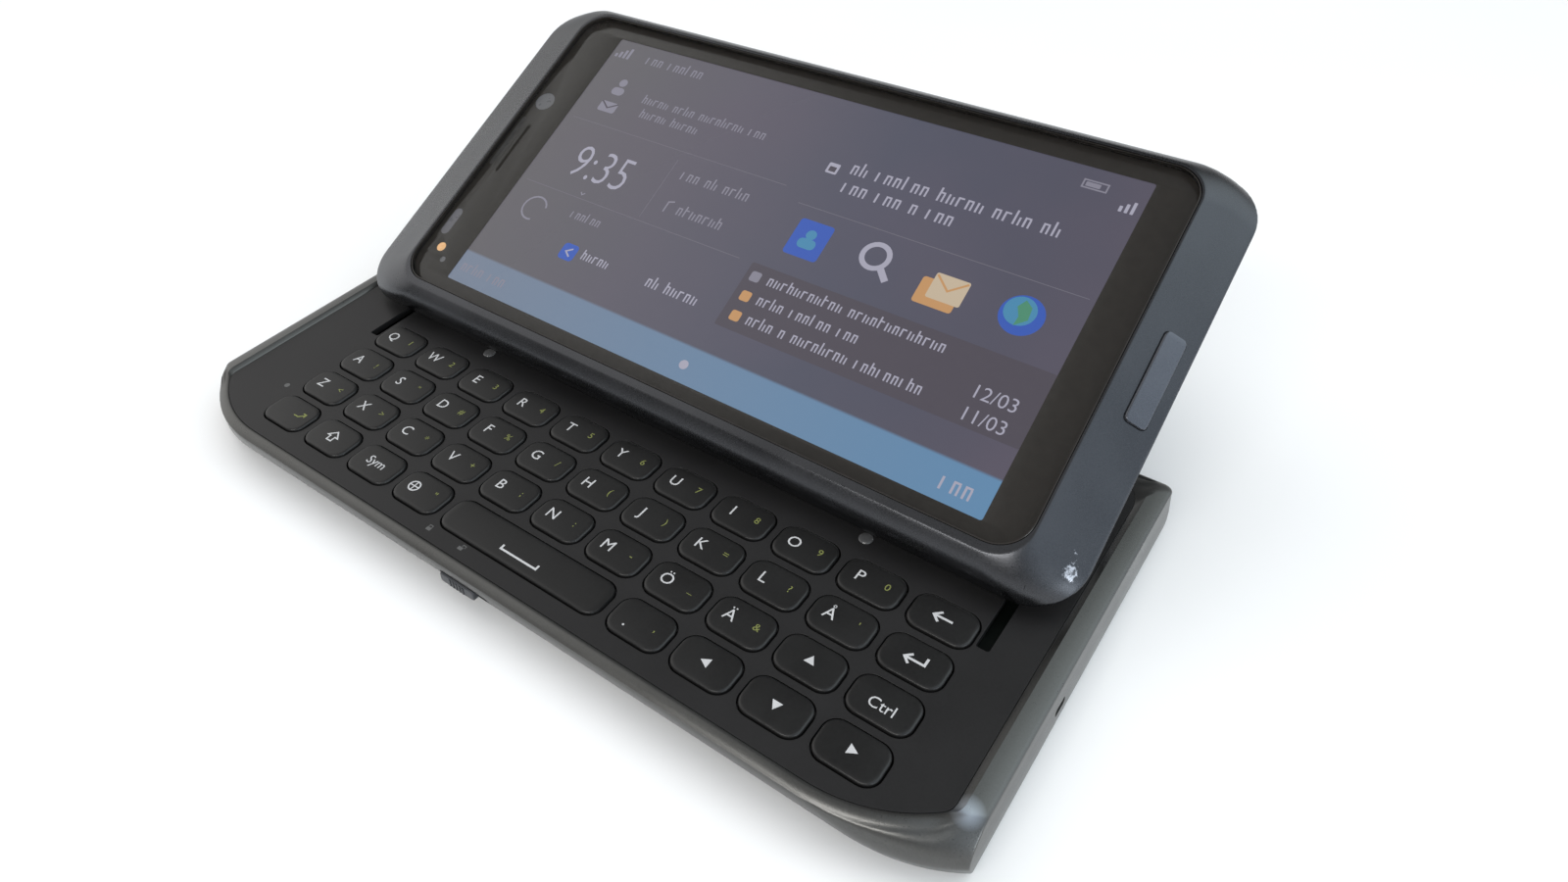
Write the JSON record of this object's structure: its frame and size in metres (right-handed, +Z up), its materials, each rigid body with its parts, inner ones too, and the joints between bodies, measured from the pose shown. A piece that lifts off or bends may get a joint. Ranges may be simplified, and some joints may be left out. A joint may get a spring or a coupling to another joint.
{
  "type": "slider phone",
  "caption": "Landscape slider phone, open: the display half slides back off a four-row keyboard and tilts up on hinged rails with swing arms.",
  "frame": {"origin": "middle of the base's flat underside", "axes": "+X along the long side, to the user's right; +Y away from the user; +Z up, out of the keyboard"},
  "size_m": [0.1239, 0.088, 0.0393],
  "materials": {
    "shell": "satin",
    "deck": "satin",
    "keys": "semi-gloss",
    "mat": "matte",
    "board": "satin",
    "battery": "matte",
    "steel": "brushed",
    "frame": "satin",
    "back": "satin",
    "glass": "polished",
    "screen": "lit display",
    "controls": "semi-gloss",
    "tray": "satin"
  },
  "bodies": {
    "base": {"base_shell": "shell", "keyboard_deck": "deck", "key_mat": "mat", "main_board": "board", "battery": "battery"},
    "slider": {"slide_plate": "steel", "hinge_pins": "steel"},
    "display": {"display_frame": "frame", "display_back": "back", "front_glass": "glass", "display_panel": "screen"},
    "arms": {"swing_arms": "steel"},
    "menu_key": {"menu_key": "controls"},
    "power_key": {"power_key": "controls"},
    "volume_slider": {"volume_slider": "controls"},
    "camera_key": {"camera_key": "controls"},
    "lock_slider": {"lock_slider": "controls"},
    "sim_tray": {"sim_tray": "tray"},
    "key_q": {"key_q": "keys"},
    "key_w": {"key_w": "keys"},
    "key_e": {"key_e": "keys"},
    "key_r": {"key_r": "keys"},
    "key_t": {"key_t": "keys"},
    "key_y": {"key_y": "keys"},
    "key_u": {"key_u": "keys"},
    "key_i": {"key_i": "keys"},
    "key_o": {"key_o": "keys"},
    "key_p": {"key_p": "keys"},
    "key_backspace": {"key_backspace": "keys"},
    "key_a": {"key_a": "keys"},
    "key_s": {"key_s": "keys"},
    "key_d": {"key_d": "keys"},
    "key_f": {"key_f": "keys"},
    "key_g": {"key_g": "keys"},
    "key_h": {"key_h": "keys"},
    "key_j": {"key_j": "keys"},
    "key_k": {"key_k": "keys"},
    "key_l": {"key_l": "keys"},
    "key_a_ring": {"key_a_ring": "keys"},
    "key_enter": {"key_enter": "keys"},
    "key_z": {"key_z": "keys"},
    "key_x": {"key_x": "keys"},
    "key_c": {"key_c": "keys"},
    "key_v": {"key_v": "keys"},
    "key_b": {"key_b": "keys"},
    "key_n": {"key_n": "keys"},
    "key_m": {"key_m": "keys"},
    "key_o_umlaut": {"key_o_umlaut": "keys"},
    "key_a_umlaut": {"key_a_umlaut": "keys"},
    "key_up": {"key_up": "keys"},
    "key_control": {"key_control": "keys"},
    "key_function": {"key_function": "keys"},
    "key_shift": {"key_shift": "keys"},
    "key_symbols": {"key_symbols": "keys"},
    "key_character": {"key_character": "keys"},
    "key_space": {"key_space": "keys"},
    "key_period": {"key_period": "keys"},
    "key_left": {"key_left": "keys"},
    "key_down": {"key_down": "keys"},
    "key_right": {"key_right": "keys"}
  },
  "joints": [
    {"name": "display_slide", "type": "slide", "parent": "base", "child": "slider", "axis": [0, 1, 0], "range_m": [-0.0318, 0]},
    {"name": "display_tilt", "type": "hinge", "parent": "slider", "child": "display", "pos_m": [0, 0.0032, 0.0101], "axis": [1, 0, 0], "range_deg": [-27, 0]},
    {"name": "arm_swing", "type": "hinge", "parent": "slider", "child": "arms", "pos_m": [0, 0.0202, 0.0101], "axis": [1, 0, 0], "range_deg": [-54, 0]},
    {"name": "menu_key_press", "type": "slide", "parent": "display", "child": "menu_key", "axis": [-0.5241, 0.3866, -0.7588], "range_m": [0, 0.00035], "stiffness_N_per_m": 400},
    {"name": "power_key_press", "type": "slide", "parent": "base", "child": "power_key", "axis": [1, 0, 0], "range_m": [0, 0.0004], "stiffness_N_per_m": 400},
    {"name": "camera_key_press", "type": "slide", "parent": "base", "child": "camera_key", "axis": [0, -1, 0], "range_m": [0, 0.0004], "stiffness_N_per_m": 400},
    {"name": "volume_slide", "type": "slide", "parent": "base", "child": "volume_slider", "axis": [1, 0, 0], "range_m": [-0.0012, 0.0012], "stiffness_N_per_m": 300},
    {"name": "lock_slide", "type": "slide", "parent": "base", "child": "lock_slider", "axis": [1, 0, 0], "range_m": [0, 0.0019], "stiffness_N_per_m": 300},
    {"name": "sim_tray_slide", "type": "slide", "parent": "base", "child": "sim_tray", "axis": [0, -1, 0], "range_m": [0, 0.018]},
    {"name": "key_q_press", "type": "slide", "parent": "base", "child": "key_q", "axis": [0, 0, -1], "range_m": [0, 0.0003], "stiffness_N_per_m": 400},
    {"name": "key_w_press", "type": "slide", "parent": "base", "child": "key_w", "axis": [0, 0, -1], "range_m": [0, 0.0003], "stiffness_N_per_m": 400},
    {"name": "key_e_press", "type": "slide", "parent": "base", "child": "key_e", "axis": [0, 0, -1], "range_m": [0, 0.0003], "stiffness_N_per_m": 400},
    {"name": "key_r_press", "type": "slide", "parent": "base", "child": "key_r", "axis": [0, 0, -1], "range_m": [0, 0.0003], "stiffness_N_per_m": 400},
    {"name": "key_t_press", "type": "slide", "parent": "base", "child": "key_t", "axis": [0, 0, -1], "range_m": [0, 0.0003], "stiffness_N_per_m": 400},
    {"name": "key_y_press", "type": "slide", "parent": "base", "child": "key_y", "axis": [0, 0, -1], "range_m": [0, 0.0003], "stiffness_N_per_m": 400},
    {"name": "key_u_press", "type": "slide", "parent": "base", "child": "key_u", "axis": [0, 0, -1], "range_m": [0, 0.0003], "stiffness_N_per_m": 400},
    {"name": "key_i_press", "type": "slide", "parent": "base", "child": "key_i", "axis": [0, 0, -1], "range_m": [0, 0.0003], "stiffness_N_per_m": 400},
    {"name": "key_o_press", "type": "slide", "parent": "base", "child": "key_o", "axis": [0, 0, -1], "range_m": [0, 0.0003], "stiffness_N_per_m": 400},
    {"name": "key_p_press", "type": "slide", "parent": "base", "child": "key_p", "axis": [0, 0, -1], "range_m": [0, 0.0003], "stiffness_N_per_m": 400},
    {"name": "key_backspace_press", "type": "slide", "parent": "base", "child": "key_backspace", "axis": [0, 0, -1], "range_m": [0, 0.0003], "stiffness_N_per_m": 400},
    {"name": "key_a_press", "type": "slide", "parent": "base", "child": "key_a", "axis": [0, 0, -1], "range_m": [0, 0.0003], "stiffness_N_per_m": 400},
    {"name": "key_s_press", "type": "slide", "parent": "base", "child": "key_s", "axis": [0, 0, -1], "range_m": [0, 0.0003], "stiffness_N_per_m": 400},
    {"name": "key_d_press", "type": "slide", "parent": "base", "child": "key_d", "axis": [0, 0, -1], "range_m": [0, 0.0003], "stiffness_N_per_m": 400},
    {"name": "key_f_press", "type": "slide", "parent": "base", "child": "key_f", "axis": [0, 0, -1], "range_m": [0, 0.0003], "stiffness_N_per_m": 400},
    {"name": "key_g_press", "type": "slide", "parent": "base", "child": "key_g", "axis": [0, 0, -1], "range_m": [0, 0.0003], "stiffness_N_per_m": 400},
    {"name": "key_h_press", "type": "slide", "parent": "base", "child": "key_h", "axis": [0, 0, -1], "range_m": [0, 0.0003], "stiffness_N_per_m": 400},
    {"name": "key_j_press", "type": "slide", "parent": "base", "child": "key_j", "axis": [0, 0, -1], "range_m": [0, 0.0003], "stiffness_N_per_m": 400},
    {"name": "key_k_press", "type": "slide", "parent": "base", "child": "key_k", "axis": [0, 0, -1], "range_m": [0, 0.0003], "stiffness_N_per_m": 400},
    {"name": "key_l_press", "type": "slide", "parent": "base", "child": "key_l", "axis": [0, 0, -1], "range_m": [0, 0.0003], "stiffness_N_per_m": 400},
    {"name": "key_a_ring_press", "type": "slide", "parent": "base", "child": "key_a_ring", "axis": [0, 0, -1], "range_m": [0, 0.0003], "stiffness_N_per_m": 400},
    {"name": "key_enter_press", "type": "slide", "parent": "base", "child": "key_enter", "axis": [0, 0, -1], "range_m": [0, 0.0003], "stiffness_N_per_m": 400},
    {"name": "key_z_press", "type": "slide", "parent": "base", "child": "key_z", "axis": [0, 0, -1], "range_m": [0, 0.0003], "stiffness_N_per_m": 400},
    {"name": "key_x_press", "type": "slide", "parent": "base", "child": "key_x", "axis": [0, 0, -1], "range_m": [0, 0.0003], "stiffness_N_per_m": 400},
    {"name": "key_c_press", "type": "slide", "parent": "base", "child": "key_c", "axis": [0, 0, -1], "range_m": [0, 0.0003], "stiffness_N_per_m": 400},
    {"name": "key_v_press", "type": "slide", "parent": "base", "child": "key_v", "axis": [0, 0, -1], "range_m": [0, 0.0003], "stiffness_N_per_m": 400},
    {"name": "key_b_press", "type": "slide", "parent": "base", "child": "key_b", "axis": [0, 0, -1], "range_m": [0, 0.0003], "stiffness_N_per_m": 400},
    {"name": "key_n_press", "type": "slide", "parent": "base", "child": "key_n", "axis": [0, 0, -1], "range_m": [0, 0.0003], "stiffness_N_per_m": 400},
    {"name": "key_m_press", "type": "slide", "parent": "base", "child": "key_m", "axis": [0, 0, -1], "range_m": [0, 0.0003], "stiffness_N_per_m": 400},
    {"name": "key_o_umlaut_press", "type": "slide", "parent": "base", "child": "key_o_umlaut", "axis": [0, 0, -1], "range_m": [0, 0.0003], "stiffness_N_per_m": 400},
    {"name": "key_a_umlaut_press", "type": "slide", "parent": "base", "child": "key_a_umlaut", "axis": [0, 0, -1], "range_m": [0, 0.0003], "stiffness_N_per_m": 400},
    {"name": "key_up_press", "type": "slide", "parent": "base", "child": "key_up", "axis": [0, 0, -1], "range_m": [0, 0.0003], "stiffness_N_per_m": 400},
    {"name": "key_control_press", "type": "slide", "parent": "base", "child": "key_control", "axis": [0, 0, -1], "range_m": [0, 0.0003], "stiffness_N_per_m": 400},
    {"name": "key_function_press", "type": "slide", "parent": "base", "child": "key_function", "axis": [0, 0, -1], "range_m": [0, 0.0003], "stiffness_N_per_m": 400},
    {"name": "key_shift_press", "type": "slide", "parent": "base", "child": "key_shift", "axis": [0, 0, -1], "range_m": [0, 0.0003], "stiffness_N_per_m": 400},
    {"name": "key_symbols_press", "type": "slide", "parent": "base", "child": "key_symbols", "axis": [0, 0, -1], "range_m": [0, 0.0003], "stiffness_N_per_m": 400},
    {"name": "key_character_press", "type": "slide", "parent": "base", "child": "key_character", "axis": [0, 0, -1], "range_m": [0, 0.0003], "stiffness_N_per_m": 400},
    {"name": "key_space_press", "type": "slide", "parent": "base", "child": "key_space", "axis": [0, 0, -1], "range_m": [0, 0.0003], "stiffness_N_per_m": 400},
    {"name": "key_period_press", "type": "slide", "parent": "base", "child": "key_period", "axis": [0, 0, -1], "range_m": [0, 0.0003], "stiffness_N_per_m": 400},
    {"name": "key_left_press", "type": "slide", "parent": "base", "child": "key_left", "axis": [0, 0, -1], "range_m": [0, 0.0003], "stiffness_N_per_m": 400},
    {"name": "key_down_press", "type": "slide", "parent": "base", "child": "key_down", "axis": [0, 0, -1], "range_m": [0, 0.0003], "stiffness_N_per_m": 400},
    {"name": "key_right_press", "type": "slide", "parent": "base", "child": "key_right", "axis": [0, 0, -1], "range_m": [0, 0.0003], "stiffness_N_per_m": 400}
  ],
  "couplings": [
    {"joint": "display_tilt", "follows": "display_slide", "rad_per_m": 14.819},
    {"joint": "arm_swing", "follows": "display_slide", "rad_per_m": 29.638}
  ]
}
